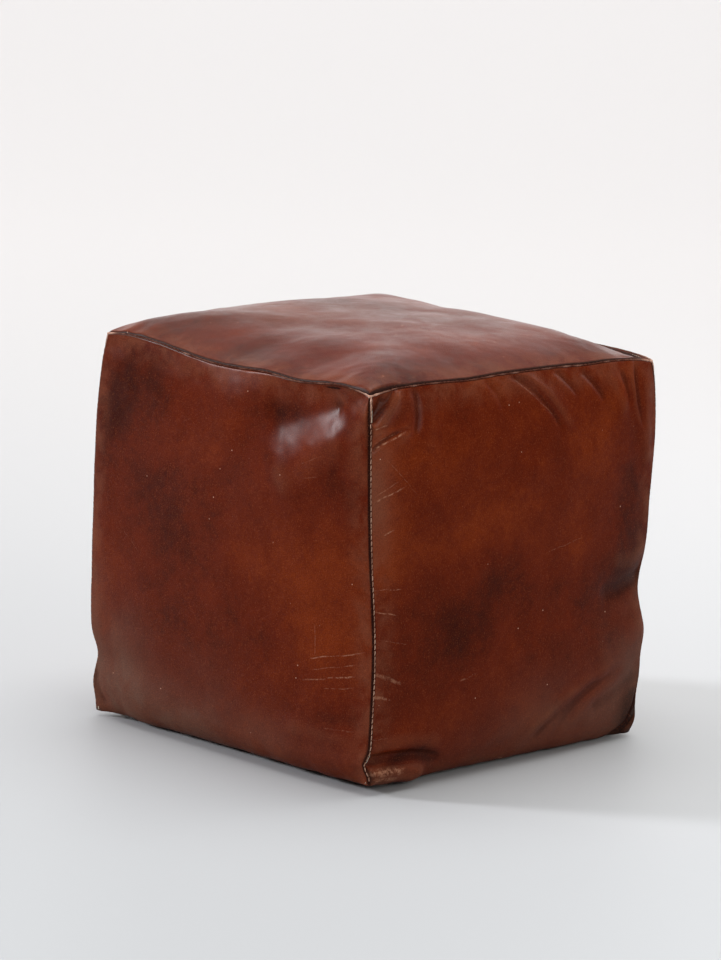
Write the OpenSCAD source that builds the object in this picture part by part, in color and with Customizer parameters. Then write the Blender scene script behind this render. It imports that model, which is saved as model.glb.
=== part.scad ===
// A stuffed leather pouf: a cube of six sewn leather panels over a cotton lining and a loose filling,
// closed by a metal zip in a shallow valley across its base.
// The origin is in the middle of the footprint, on the floor. +Z is up and -Y is the front.

/* [Overall size] */
// Width between neighbouring upright seams, at the corners, mm
seam_width = 400; // [350:5:450]
// Height from the base seam to the top seam, mm
seam_height = 394; // [340:2:440]
// Height of the base seam above the floor, mm
base_rim = 6; // [4:0.5:8]
// How far the upright seams bow outward at mid height, mm
seam_bow = 8; // [0:0.5:12]
// How far the middle of a side panel stands proud of its seams, mm
side_crown = 11; // [4:0.5:16]
// How far the middle of the top panel stands above its seams, mm
top_crown = 30; // [10:1:36]

/* [Leather and lining] */
// Thickness of the leather, mm
leather = 2; // [1.5:0.1:3]
// Thickness of the cotton lining, mm
lining = 0.8; // [0.5:0.1:1.2]
// Air left between the leather and the lining, mm
layer_gap = 0.3; // [0.2:0.05:0.5]
// Air left between the lining and the filling, mm
fill_gap = 1.6; // [1.5:0.1:3]
// Clearance on each panel edge, which leaves a groove for the seam thread, mm
edge_gap = 0.75; // [0.6:0.05:1]

/* [Thread] */
// Radius of the thread in the seams, mm
seam_thread = 0.45; // [0.3:0.05:0.5]
// Radius of the thread that sews the zip tape to the leather, mm
tape_thread = 0.4; // [0.3:0.05:0.5]

/* [Base] */
// Width of the rounded edge of the base, mm
base_edge = 15; // [10:1:25]
// Distance from the middle at which the base reaches the floor, mm
valley_half = 45; // [35:1:60]
// Half width of the level shelf along the zip, mm
shelf_half = 18; // [17:0.5:24]
// Height of that shelf above the floor, mm
shelf_height = 7.2; // [7:0.1:9]
// Half length of the opening in the leather, mm
opening_half = 157; // [156:1:165]
// Half width of the opening in the leather, mm
opening_side = 7.5; // [7:0.5:9]

/* [Zip] */
// Distance between one tooth and the next on the same side, mm
tooth_pitch = 3.2; // [3:0.1:3.6]
// Number of teeth on each side
tooth_count = 90; // [60:1:90]
// Thickness of one tooth along the zip, mm
tooth_width = 1.5; // [1.2:0.1:1.6]
// Thickness of the tape, mm
tape = 0.7; // [0.5:0.1:0.7]
// Distance from the middle of the zip to the outer edge of a tape, mm
tape_side = 16; // [14:0.5:16.5]
// Place of the slider along the zip when it is closed, mm
slider_place = 142.5; // [140:0.5:142.5]
// Length of the pull tab from its bar to its tip, mm
pull_length = 28; // [20:1:30]
// How far the pull droops towards the floor, degrees
pull_droop = 9.5; // [0:0.5:9.5]

/* [Hidden] */
$fn = 32;

leather_color = [0.46, 0.2, 0.11];
canvas_color = [0.86, 0.8, 0.68];
thread_color = [0.8, 0.68, 0.52];
brass_color = [0.78, 0.6, 0.3];

half = seam_width / 2;
half_z = seam_height / 2;
mid_z = base_rim + half_z;
seam_high = base_rim + seam_height;
lining_out = leather + layer_gap;
lining_in = lining_out + lining;
fill_out = lining_in + fill_gap;
zip_z = shelf_height + leather + 0.05 + tape / 2;
lining_shelf = zip_z + tape / 2 + 0.05;
fill_shelf = zip_z + 3.6;
thread_inset = 0.6;
steps = 14;
last = steps;
bar_z = -3.95;
bar_x = -2.9;

// ---------- surfaces of the stuffed cube ----------

// Parameter from -1 to 1, closer together towards both ends
function spread(i, n) = sin(90 * (2 * i / n - 1));
function bow(v) = seam_bow * (1 - pow(v, 4));
function crown(u, v) = (1 - pow(u, 4)) * (1 - pow(v, 4));

// A point of the front face, at depth d under the outer surface of the leather
function side_point(u, v, d, g) = [
    u * (half + bow(v) - d - g),
    -(half + bow(v) - d + side_crown * crown(u, v)),
    mid_z + v * (half_z - d - g)
];

// A point of the top face, at depth d under the outer surface of the leather
function top_point(u, v, d, g) = [
    u * (half - d - g),
    v * (half - d - g),
    seam_high - d + top_crown * crown(u, v)
];

function at(i, j) = i * (steps + 1) + j;

// Closes two grids of points, an outer and an inner one, into a panel
module panel(outer, inner) {
    under = len(outer);
    skin = [for (i = [0:steps - 1], j = [0:steps - 1], k = [0:3])
        k == 0 ? [at(i, j), at(i, j + 1), at(i + 1, j + 1)] :
        k == 1 ? [at(i, j), at(i + 1, j + 1), at(i + 1, j)] :
        k == 2 ? [under + at(i, j), under + at(i + 1, j + 1), under + at(i, j + 1)] :
        [under + at(i, j), under + at(i + 1, j), under + at(i + 1, j + 1)]];
    path = concat(
        [for (i = [0:steps - 1]) at(i, 0)],
        [for (j = [0:steps - 1]) at(last, j)],
        [for (i = [0:steps - 1]) at(last - i, last)],
        [for (j = [0:steps - 1]) at(0, last - j)]);
    rim = [for (k = [0:len(path) - 1], t = [0, 1])
        let (a = path[k], b = path[(k + 1) % len(path)])
        t == 0 ? [a, b, under + b] : [a, under + b, under + a]];
    polyhedron(points = concat(outer, inner), faces = concat(skin, rim), convexity = 6);
}

module side_sheet(d0, d1) {
    panel(
        [for (i = [0:steps], j = [0:steps])
            side_point(spread(i, steps), spread(j, steps), d0, edge_gap)],
        [for (i = [0:steps], j = [0:steps])
            side_point(spread(i, steps), spread(j, steps), d1, edge_gap)]);
}

module top_sheet(d0, d1) {
    panel(
        [for (i = [0:steps], j = [0:steps])
            top_point(spread(i, steps), spread(j, steps), d0, edge_gap)],
        [for (i = [0:steps], j = [0:steps])
            top_point(spread(i, steps), spread(j, steps), d1, edge_gap)]);
}

// ---------- base ----------

// Rounded edge of the base as seen from one side, from the flat part out to the seam
function edge_curve(d) = [for (k = [0:5])
    [half - base_edge + (base_edge - d - edge_gap) * sin(18 * k),
        d + base_rim * (1 - cos(18 * k))]];

function mirrored(curve) = [for (k = [0:len(curve) - 1])
    [-curve[len(curve) - 1 - k][0], curve[len(curve) - 1 - k][1]]];

// Underside of the base at depth d, from one seam to the other; the valley is left out if shelf is 0
function base_curve(d, shelf) = concat(
    mirrored(edge_curve(d)),
    shelf > 0 ? [[-valley_half, d], [-shelf_half, shelf], [shelf_half, shelf], [valley_half, d]] : [],
    edge_curve(d));

// Everything above that curve and inside the mitred edges of the base
module base_section(d, shelf) {
    polygon(concat(
        base_curve(d, shelf),
        [[half - d - edge_gap - 40, base_rim + d + 40], [-half + d + edge_gap + 40, base_rim + d + 40]]));
}

// Everything above that curve, with no limit at the sides
module open_section(d, shelf) {
    polygon(concat(
        [[-half - 10, base_rim + d]],
        base_curve(d, shelf),
        [[half + 10, base_rim + d], [half + 10, 90], [-half - 10, 90]]));
}

module along_x(length) {
    rotate([90, 0, 90])
        linear_extrude(height = length, center = true)
            children();
}

module along_y(length) {
    rotate([90, 0, 0])
        linear_extrude(height = length, center = true)
            children();
}

module base_sheet(d0, shelf0, d1, shelf1) {
    difference() {
        intersection() {
            along_x(2 * half + 30) base_section(d0, shelf0);
            along_y(2 * half + 30) base_section(d0, 0);
        }
        intersection() {
            along_x(2 * half + 40) open_section(d1, shelf1);
            along_y(2 * half + 40) open_section(d1, 0);
        }
    }
}

// One half of a base sheet, on the -Y side, with a notch for the zip
module base_half(d0, shelf0, d1, shelf1, notch_x, notch_y) {
    difference() {
        base_sheet(d0, shelf0, d1, shelf1);
        translate([-half - 20, -0.6, -5])
            cube([seam_width + 40, half + 40, 60]);
        translate([-notch_x, -notch_y, -5])
            cube([2 * notch_x, notch_y + 5, 60]);
    }
}

module leather_half() {
    base_half(0, shelf_height, leather, shelf_height + leather, opening_half, opening_side);
}

module lining_half() {
    base_half(lining_out, lining_shelf, lining_in, lining_shelf + lining, 172, tape_side + 1);
}

// ---------- panels ----------

module top_panel() {
    color(leather_color) top_sheet(0, leather);
}

module front_panel() {
    color(leather_color) side_sheet(0, leather);
}

module right_panel() {
    color(leather_color) rotate([0, 0, 90]) side_sheet(0, leather);
}

module back_panel() {
    color(leather_color) rotate([0, 0, 180]) side_sheet(0, leather);
}

module left_panel() {
    color(leather_color) rotate([0, 0, 270]) side_sheet(0, leather);
}

module base_panel_front() {
    color(leather_color) leather_half();
}

module base_panel_back() {
    color(leather_color) rotate([0, 0, 180]) leather_half();
}

module top_lining() {
    color(canvas_color) top_sheet(lining_out, lining_in);
}

module front_lining() {
    color(canvas_color) side_sheet(lining_out, lining_in);
}

module right_lining() {
    color(canvas_color) rotate([0, 0, 90]) side_sheet(lining_out, lining_in);
}

module back_lining() {
    color(canvas_color) rotate([0, 0, 180]) side_sheet(lining_out, lining_in);
}

module left_lining() {
    color(canvas_color) rotate([0, 0, 270]) side_sheet(lining_out, lining_in);
}

module base_lining_front() {
    color(canvas_color) lining_half();
}

module base_lining_back() {
    color(canvas_color) rotate([0, 0, 180]) lining_half();
}

// ---------- filling ----------

fill_steps = 12;
cap_radii = [0.25, 0.5, 0.72, 0.88, 0.97];

// The filling before its base is shaped, as square rings from the bottom centre to the top centre
function turned(p, s) = s == 0 ? p : turned([-p[1], p[0], p[2]], s - 1);

function cap_ring(r, top) = [for (s = [0:3], i = [0:fill_steps - 1])
    let (u = r * spread(i, fill_steps), p = top_point(u, -r, fill_out, 0))
    turned([p[0], p[1], top ? p[2] : base_rim + fill_out - 12 * crown(u, r)], s)];

function wall_ring(v) = [for (s = [0:3], i = [0:fill_steps - 1])
    turned(side_point(spread(i, fill_steps), v, fill_out, 0), s)];

module filling_block() {
    count = 4 * fill_steps;
    caps = len(cap_radii);
    rings = concat(
        [for (k = [0:caps - 1]) cap_ring(cap_radii[k], false)],
        [for (j = [0:fill_steps]) wall_ring(spread(j, fill_steps))],
        [for (k = [0:caps - 1]) cap_ring(cap_radii[caps - 1 - k], true)]);
    points = concat(
        [for (ring = rings, p = ring) p],
        [[0, 0, base_rim + fill_out - 12]],
        [[0, 0, seam_high - fill_out + top_crown]]);
    low = count * len(rings);
    high = low + 1;
    top = count * (len(rings) - 1);
    walls = [for (k = [0:len(rings) - 2], i = [0:count - 1], t = [0, 1])
        let (a = k * count + i, b = k * count + (i + 1) % count)
        t == 0 ? [a, a + count, b + count] : [a, b + count, b]];
    lids = [for (i = [0:count - 1], t = [0, 1])
        let (n = (i + 1) % count)
        t == 0 ? [low, i, n] : [high, top + n, top + i]];
    polyhedron(points = points, faces = concat(walls, lids), convexity = 4);
}

module filling() {
    color([0.92, 0.89, 0.82])
        intersection() {
            filling_block();
            along_x(2 * half + 80)
                polygon([[-half - 40, 9], [-half + base_edge, fill_out], [-valley_half, fill_out],
                    [-shelf_half - 1, fill_shelf], [shelf_half + 1, fill_shelf], [valley_half, fill_out],
                    [half - base_edge, fill_out], [half + 40, 9], [half + 40, 600], [-half - 40, 600]]);
        }
}

// ---------- seam thread ----------

// The four straight runs of thread in a seam that goes round the pouf
module thread_loop(z) {
    run = seam_width - 2 * thread_inset - 3;
    for (s = [0:3])
        rotate([0, 0, 90 * s])
            translate([0, -half + thread_inset, z])
                rotate([0, 90, 0])
                    cylinder(r = seam_thread, h = run, center = true);
}

module top_seam_thread() {
    color(thread_color) thread_loop(seam_high - thread_inset);
}

module base_seam_thread() {
    color(thread_color) thread_loop(base_rim + thread_inset);
}

// Thread in the upright seam at the front right corner, which bows outward with the seam
module upright_thread() {
    count = 20;
    reach = 1 - 3 / half_z;
    points = [for (k = [0:count], c = [0:5])
        let (v = reach * spread(k, count), side = half + bow(v) - thread_inset)
        [side + seam_thread * cos(60 * c), -side + seam_thread * sin(60 * c), mid_z + v * half_z]];
    skin = [for (k = [0:count - 1], c = [0:5], t = [0, 1])
        let (a = 6 * k + c, b = 6 * k + (c + 1) % 6)
        t == 0 ? [a, a + 6, b + 6] : [a, b + 6, b]];
    ends = [[0, 1, 2, 3, 4, 5], [for (c = [0:5]) 6 * count + 5 - c]];
    polyhedron(points = points, faces = concat(skin, ends), convexity = 2);
}

module corner_thread_front_right() {
    color(thread_color) upright_thread();
}

module corner_thread_back_right() {
    color(thread_color) rotate([0, 0, 90]) upright_thread();
}

module corner_thread_back_left() {
    color(thread_color) rotate([0, 0, 180]) upright_thread();
}

module corner_thread_front_left() {
    color(thread_color) rotate([0, 0, 270]) upright_thread();
}

// Thread that closes the base at both ends of the zip
module base_join_thread() {
    color(thread_color)
        for (s = [-1, 1])
            translate([s * (opening_half + 20), 0, shelf_height + leather / 2])
                rotate([0, 90, 0])
                    cylinder(r = seam_thread, h = 34, center = true);
}

module tape_seam(side) {
    translate([0, side * (opening_side + 4), shelf_height - tape_thread - 0.02])
        rotate([0, 90, 0])
            cylinder(r = tape_thread, h = 2 * opening_half + 6, center = true);
}

module zip_thread_front() {
    color(thread_color) tape_seam(-1);
}

module zip_thread_back() {
    color(thread_color) tape_seam(1);
}

// ---------- zip ----------

module tape_strip() {
    translate([-170, -tape_side, zip_z - tape / 2])
        cube([340, tape_side - 1.9, tape]);
}

module zip_tape_front() {
    color([0.3, 0.19, 0.12]) tape_strip();
}

module zip_tape_back() {
    color([0.3, 0.19, 0.12]) rotate([0, 0, 180]) tape_strip();
}

// A row of teeth clamped on the edge of the tape on the -Y side; the heads reach past the middle
module tooth_row(start) {
    for (k = [0:tooth_count - 1])
        translate([start + k * tooth_pitch, 0, zip_z])
            rotate([90, 0, 90])
                linear_extrude(height = tooth_width, center = true)
                    polygon([[1.4, -0.9], [1.4, 0.9], [0.8, 1.5], [-3.4, 1.5], [-3.8, 1.1], [-3.8, 0.4],
                        [-1.85, 0.4], [-1.85, -0.4], [-3.8, -0.4], [-3.8, -1.1], [-3.4, -1.5], [0.8, -1.5]]);
}

module zip_teeth_front() {
    color(brass_color) tooth_row(-145);
}

module zip_teeth_back() {
    color(brass_color)
        mirror([0, 1, 0])
            tooth_row(-145 + tooth_pitch / 2);
}

module zip_top_stops() {
    color(brass_color)
        for (s = [0, 1])
            mirror([0, s, 0])
                translate([153, 0, zip_z])
                    rotate([90, 0, 90])
                        linear_extrude(height = 2.6, center = true)
                            polygon([[-1, 1.3], [-4.2, 1.3], [-4.2, 0.4], [-1.85, 0.4], [-1.85, -0.4],
                                [-4.2, -0.4], [-4.2, -1.3], [-1, -1.3]]);
}

module zip_bottom_stop() {
    color(brass_color)
        translate([-149, 0, zip_z])
            rotate([90, 0, 90])
                linear_extrude(height = 3.4, center = true)
                    polygon([[-4, 1.5], [-4, 0.4], [-1.85, 0.4], [-1.85, -0.4], [-4, -0.4], [-4, -1.5],
                        [4, -1.5], [4, -0.4], [1.85, -0.4], [1.85, 0.4], [4, 0.4], [4, 1.5]]);
}

module slider_plate() {
    linear_extrude(height = 1.3)
        polygon([[-8.5, -4.7], [-7.9, -5.3], [-1, -5.3], [5.5, -6.4], [7.2, -6], [8.5, -4.4],
            [8.5, 4.4], [7.2, 6], [5.5, 6.4], [-1, 5.3], [-7.9, 5.3], [-8.5, 4.7]]);
}

module slider_flange() {
    linear_extrude(height = 1.2)
        polygon([[-7.9, 4.3], [-1, 4.3], [5.5, 5.4], [5.5, 6.4], [-1, 5.3], [-7.9, 5.3]]);
}

module zip_slider() {
    color(brass_color)
        translate([slider_place, 0, zip_z]) {
            translate([0, 0, 1.7]) slider_plate();
            translate([0, 0, -3]) slider_plate();
            for (s = [0, 1])
                mirror([0, s, 0]) {
                    translate([0, 0, 0.6]) slider_flange();
                    translate([0, 0, -1.8]) slider_flange();
                }
            // Wedge that parts the teeth
            translate([0, 0, -1.8])
                linear_extrude(height = 3.6)
                    polygon([[2.5, 0], [5.5, -1.6], [7.8, -1.2], [7.8, 1.2], [5.5, 1.6]]);
            // Bail that carries the pull
            rotate([90, 0, 0])
                linear_extrude(height = 2.4, center = true)
                    difference() {
                        polygon([[-5, -2.9], [-5, -5.4], [-4.2, -6.2], [3.2, -6.2], [4, -5.4], [4, -2.9]]);
                        polygon([[-3.8, -3], [-3.8, -4.9], [2.8, -4.9], [2.8, -3]]);
                    }
        }
}

module zip_pull() {
    color(brass_color)
        translate([slider_place + bar_x, 0, zip_z + bar_z]) rotate([0, -pull_droop, 0]) {
            rotate([90, 0, 0])
                cylinder(r = 0.7, h = 6.8, center = true);
            difference() {
                translate([0, 0, -0.7])
                    linear_extrude(height = 1.4)
                        polygon([[0, -3.4], [-7.4, -3.4], [-9, -4.6], [-pull_length + 3, -3.6],
                            [-pull_length + 0.8, -2.6], [-pull_length, -1], [-pull_length, 1],
                            [-pull_length + 0.8, 2.6], [-pull_length + 3, 3.6], [-9, 4.6], [-7.4, 3.4],
                            [0, 3.4]]);
                translate([-7.4, -1.9, -2])
                    cube([6.9, 3.8, 4]);
                translate([-pull_length + 4.5, 0, -2])
                    cylinder(r = 1.6, h = 4);
            }
        }
}

top_panel();
front_panel();
right_panel();
back_panel();
left_panel();
base_panel_front();
base_panel_back();
top_seam_thread();
base_seam_thread();
corner_thread_front_right();
corner_thread_back_right();
corner_thread_back_left();
corner_thread_front_left();
base_join_thread();
zip_thread_front();
zip_thread_back();
zip_tape_front();
zip_tape_back();
zip_teeth_front();
zip_teeth_back();
zip_top_stops();
zip_bottom_stop();
zip_slider();
zip_pull();
top_lining();
front_lining();
right_lining();
back_lining();
left_lining();
base_lining_front();
base_lining_back();
filling();
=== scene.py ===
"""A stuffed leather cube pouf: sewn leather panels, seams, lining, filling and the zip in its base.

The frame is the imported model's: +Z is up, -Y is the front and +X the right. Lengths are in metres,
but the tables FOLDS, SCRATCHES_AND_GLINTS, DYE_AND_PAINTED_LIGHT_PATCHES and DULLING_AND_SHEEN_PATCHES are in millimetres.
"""
import math

import bpy
import numpy as np
from mathutils import Matrix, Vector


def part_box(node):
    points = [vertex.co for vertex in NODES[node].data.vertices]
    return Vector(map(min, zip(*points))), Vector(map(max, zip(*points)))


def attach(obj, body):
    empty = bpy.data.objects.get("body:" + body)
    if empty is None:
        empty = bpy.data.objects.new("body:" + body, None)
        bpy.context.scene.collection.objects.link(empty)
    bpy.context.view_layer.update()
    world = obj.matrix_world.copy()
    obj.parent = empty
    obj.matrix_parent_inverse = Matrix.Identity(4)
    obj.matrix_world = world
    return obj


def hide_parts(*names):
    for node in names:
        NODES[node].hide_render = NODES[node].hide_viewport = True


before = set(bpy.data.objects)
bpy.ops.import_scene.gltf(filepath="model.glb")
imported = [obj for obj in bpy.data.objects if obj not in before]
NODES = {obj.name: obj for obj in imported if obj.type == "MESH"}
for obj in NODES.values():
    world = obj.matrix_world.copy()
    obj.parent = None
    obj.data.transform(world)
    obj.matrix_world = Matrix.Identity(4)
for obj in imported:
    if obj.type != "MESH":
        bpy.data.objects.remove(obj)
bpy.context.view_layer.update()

POUF = "pouf"

# ---- sizes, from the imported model

top_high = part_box("top_panel")[1]
side_low, side_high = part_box("front_panel")
loop_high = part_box("top_seam_thread")[1]
rim_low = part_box("base_seam_thread")[0]
tape_low, tape_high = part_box("zip_tape_front")

HALF = loop_high.x                    # half the width between two upright seams
Z_HIGH = loop_high.z                  # height of the top seam
Z_LOW = rim_low.z                     # height of the base seam
BOW = side_high.x - HALF              # how far the upright seams bow outward
SIDE_CROWN = -side_low.y - HALF - BOW   # how far the middle of a side stands out
TOP_CROWN = top_high.z - Z_HIGH       # how far the middle of the top stands up
LEATHER = 0.0019                      # thickness
CANVAS = 0.0008                       # thickness of the lining, and its gap to the leather
OPENING = tape_high.x - 0.013         # half length of the gap in the leather over the zip
OPENING_SIDE = 0.0075                 # half width of that gap
SHELF = tape_low.z - 0.00205          # underside of the leather beside the zip
VALLEY = 0.045                        # how far from the zip the base reaches the floor
VALLEY_TOP = 0.017                    # how far from the zip the valley's flat top reaches
RIM_ROUND = 0.022                     # how far in from its seams the base is rounded

# ---- camera

AZIMUTH = math.radians(45.0)
ELEVATION = math.radians(11.9)
ROLL = math.radians(2.26)
DISTANCE = 4.6
AIM_HEIGHT = 0.2025
FOCAL = 957 * DISTANCE / 960            # in frame heights
SENSOR = 24.0
SHIFT = (-0.0123, 0.0598)


def add_camera():
    """The camera of the photograph: a long lens, held a little out of level."""
    back = np.array([math.sin(AZIMUTH) * math.cos(ELEVATION),
                     -math.cos(AZIMUTH) * math.cos(ELEVATION), math.sin(ELEVATION)])
    right = np.array([math.cos(AZIMUTH), math.sin(AZIMUTH), 0.0])
    up = np.cross(back, right)
    turned_right = math.cos(ROLL) * right + math.sin(ROLL) * up
    turned_up = -math.sin(ROLL) * right + math.cos(ROLL) * up
    place = np.array([0.0, 0.0, AIM_HEIGHT]) + DISTANCE * back
    data = bpy.data.cameras.new("camera")
    data.sensor_fit = "VERTICAL"
    data.sensor_height = SENSOR
    data.lens = FOCAL * SENSOR
    data.shift_x, data.shift_y = SHIFT
    data.clip_end = 100.0
    camera = bpy.data.objects.new("camera", data)
    bpy.context.scene.collection.objects.link(camera)
    matrix = np.eye(4)
    matrix[:3] = np.stack([turned_right, turned_up, back, place], axis=1)
    camera.matrix_world = Matrix(matrix.tolist())
    bpy.context.scene.camera = camera


add_camera()

# ---- the seams

# A corner is named by its signs along X, Y and Z. These are its shifts from the plain cube's corner,
# because a stuffed pouf leans and droops a little.
CORNER_SHIFT = {
    (1, -1, 1): (-0.0055, -0.0055, 0.003),
    (-1, -1, 1): (0.0, 0.0, 0.0085),
    (1, 1, 1): (0.0, 0.0, 0.002),
    (-1, 1, 1): (0.002, -0.002, 0.005),
    (1, -1, -1): (0.0045, 0.0045, 0.005),
    (-1, -1, -1): (0.0, 0.0, 0.002),
    (1, 1, -1): (0.0, 0.0, 0.001),
    (-1, 1, -1): (0.0, 0.0, 0.004),
}

# Bumps along a seam: the seam is named by its axis and its two signs, in X, Y, Z order without the
# axis. Each bump is (place from -1 to 1, half width, shift x, shift y, shift z).
SEAM_BUMPS = {
    (0, -1, 1): [(-0.10, 0.42, 0, 0, -0.0095), (0.50, 0.20, 0, 0, -0.0062),
                 (-0.45, 0.2, 0, -0.001, 0)],
    (1, 1, 1): [(0.1, 0.5, 0, 0, 0.0005), (-0.35, 0.16, 0.001, 0, -0.0015), (0.5, 0.12, 0, 0, -0.001)],
    (0, 1, 1): [(0.1, 0.4, 0, 0.001, -0.003)],
    (1, -1, 1): [(-0.2, 0.4, -0.001, 0, -0.002)],
    (2, 1, -1): [(-0.3, 0.42, 0.0032, 0.0032, 0), (-0.905, 0.055, -0.0062, -0.0062, 0)],
    (2, -1, -1): [(-0.20, 0.45, -0.0002, -0.0002, 0), (-0.70, 0.09, 0.0045, 0.0045, 0),
                  (-0.88, 0.06, -0.0015, -0.0015, 0)],
    (2, 1, 1): [(0.2, 0.34, -0.0035, -0.0035, 0), (-0.22, 0.20, -0.008, -0.008, 0),
                (-0.60, 0.14, -0.003, -0.003, 0), (-0.82, 0.12, -0.003, -0.003, 0)],
    (2, -1, 1): [(-0.4, 0.3, 0.002, -0.002, 0), (0.3, 0.2, -0.001, 0.001, 0)],
}
# How far each bottom corner is moved inward and down, over about TUCK_WIDTH of its seams
CORNER_TUCK = {
    (1, -1): (0.0, 0.0),
    (-1, -1): (-0.001, 0.0025),
    (1, 1): (0.002, 0.002),
    (-1, 1): (0.006, 0.003),
}
TUCK_WIDTH = 0.012
TOP_BOW = 0.0025          # how far the top seams bow outward
CORNER_DROOP = 0.0065     # how far the top corners hang below the run of the top seams
BASE_TUCK = 0.018         # how far the base seams are drawn in under the sides
ROLL_HEIGHT = 0.017       # how high the roll at the foot of each side reaches
BASE_SAG = 0.0072         # how much lower the base seams lie between the corners
FULLNESS = 3.2            # how squarely a face bulges: 2 is round, and more is flatter
LOW_WEIGHT = 0.14         # how much more the lower half of a side bulges


def corner(signs):
    x, y, z = signs
    plain = np.array([x * HALF, y * HALF, Z_HIGH if z > 0 else Z_LOW])
    return plain + np.array(CORNER_SHIFT[signs])


def seam(axis, first, second, t):
    """Points of one of the twelve seams, at t from -1 to 1 along its axis."""
    t = np.atleast_1d(np.asarray(t, float))
    signs = [first, second]
    signs.insert(axis, -1)
    start = corner(tuple(signs))
    signs[axis] = 1
    end = corner(tuple(signs))
    points = start + (end - start) * ((t + 1) / 2)[:, None]
    signs[axis] = 0
    away = np.array(signs, float)
    if axis == 2:
        points += away * (BOW * (1 - t ** 4))[:, None]
    elif signs[2] > 0:
        away[2] = 0
        points += away * (TOP_BOW * (1 - t ** 2))[:, None]
        points[:, 2] += CORNER_DROOP * (1 - t ** 8)
    else:
        away[2] = 0
        points -= away * (BASE_TUCK * (1 - t ** 6))[:, None]
        points[:, 2] -= BASE_SAG * (1 - t ** 6)
    fade = 1 - t ** 10
    for end in (-1, 1):
        signs[axis] = end
        if signs[2] < 0:
            inward, down = CORNER_TUCK[signs[0], signs[1]]
            near = np.exp(-((1 - end * t) * HALF / TUCK_WIDTH) ** 2)
            points += near[:, None] * np.array([-signs[0] * inward, -signs[1] * inward, -down])
    for place, width, dx, dy, dz in SEAM_BUMPS.get((axis, first, second), []):
        points += (fade * np.exp(-((t - place) / width) ** 2))[:, None] * np.array([dx, dy, dz])
    return points


def seam_through(a, b):
    """The seam between two corners given by signs, as a function of t from a to b."""
    axis = [k for k in range(3) if a[k] != b[k]][0]
    first, second = [a[k] for k in range(3) if k != axis]
    return lambda t: seam(axis, first, second, np.asarray(t) * b[axis])


# ---- the faces

# For each face, the signs at (u, v): a constant, what u adds and what v adds
FACES = {
    "front": ((0, -1, 0), (1, 0, 0), (0, 0, 1)),
    "right": ((1, 0, 0), (0, 1, 0), (0, 0, 1)),
    "back": ((0, 1, 0), (-1, 0, 0), (0, 0, 1)),
    "left": ((-1, 0, 0), (0, -1, 0), (0, 0, 1)),
    "top": ((0, 0, 1), (1, 0, 0), (0, 1, 0)),
    "base": ((0, 0, -1), (1, 0, 0), (0, -1, 0)),
}


def face_corner(face, u, v):
    fixed, along_u, along_v = (np.array(x) for x in FACES[face])
    return tuple(int(x) for x in fixed + u * along_u + v * along_v)


def between(low, high, near, far, a, b):
    """The points between four curves that meet at their ends, at shares a and b of the way."""
    a, b = a[:, None, None], b[None, :, None]
    return ((1 - b) * low[:, None] + b * high[:, None] + (1 - a) * near[None] + a * far[None]
            - (1 - a) * (1 - b) * low[0] - a * (1 - b) * low[-1]
            - (1 - a) * b * high[0] - a * b * high[-1])


def stretched(face, u, v):
    """The skin stretched between the four seams of a face, before it bulges."""
    a, b = (u + 1) / 2, (v + 1) / 2
    low = seam_through(face_corner(face, -1, -1), face_corner(face, 1, -1))(u)
    high = seam_through(face_corner(face, -1, 1), face_corner(face, 1, 1))(u)
    near = seam_through(face_corner(face, -1, -1), face_corner(face, -1, 1))(v)
    far = seam_through(face_corner(face, 1, -1), face_corner(face, 1, 1))(v)
    return between(low, high, near, far, a, b)


def smooth(x):
    x = np.clip(x, 0, 1)
    return x * x * (3 - 2 * x)


def base_floor(near, side, y, drop):
    """Height of the underside over the floor: flat, with a rounded rim and a valley along the zip.
    near is the distance to the nearest base seam and side the distance to the left or right one."""
    rim = drop * (1 - smooth(near / RIM_ROUND))
    across = smooth((VALLEY - np.abs(y)) / (VALLEY - VALLEY_TOP))
    valley = SHELF * across * smooth((side - 0.001) / 0.014)
    return np.maximum(rim, valley)


def run_along(points):
    """The distance along a path at each of its points."""
    return np.concatenate([[0], np.cumsum(np.linalg.norm(np.diff(points, axis=0), axis=1))])


def rolled(v):
    """Shifts places up a side so that they lie evenly along the roll at its foot, and how far in
    each one is tucked, as a share of BASE_TUCK."""
    angle = np.linspace(0, math.pi / 2, 60)
    out, rise = BASE_TUCK * np.sin(angle), ROLL_HEIGHT * (1 - np.cos(angle))
    run = run_along(np.stack([out, rise], axis=1))
    tall = Z_HIGH - Z_LOW
    at = (v + 1) / 2 * (run[-1] + tall - ROLL_HEIGHT)
    height = np.where(at < run[-1], np.interp(at, run, rise), ROLL_HEIGHT + at - run[-1])
    return 2 * height / tall - 1, 1 - np.interp(at, run, out) / BASE_TUCK


def pillow(u, v):
    return (1 - np.abs(u) ** FULLNESS)[:, None] * (1 - np.abs(v) ** FULLNESS)[None, :]


def bulged(face, u, v):
    """The start shape of a face: a full, slightly flattened pillow between its seams."""
    fixed = np.array(FACES[face][0], float)
    if face == "base":
        points = stretched(face, u, v)
        side = np.broadcast_to((1 - np.abs(u))[:, None] * HALF, points.shape[:2])
        near = np.minimum(side, (1 - np.abs(v))[None, :] * HALF)
        points[..., 2] = base_floor(near, side, points[..., 1], points[..., 2])
        return points
    if face == "top":
        height = (TOP_CROWN - CORNER_DROOP - 0.002) * pillow(u, v)
        return stretched(face, u, v) + height[..., None] * fixed
    v, tucked = rolled(v)
    points = stretched(face, u, v)
    spread = BASE_TUCK * (1 - u ** 6)[:, None] * ((1 - v) / 2 - tucked)[None, :]
    points += spread[..., None] * fixed
    # the weight of the filling pushes the lower half out more
    height = SIDE_CROWN * pillow(u, v) * (1 - LOW_WEIGHT * v)[None, :]
    return points + height[..., None] * fixed


# ---- small tools for grids

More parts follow.
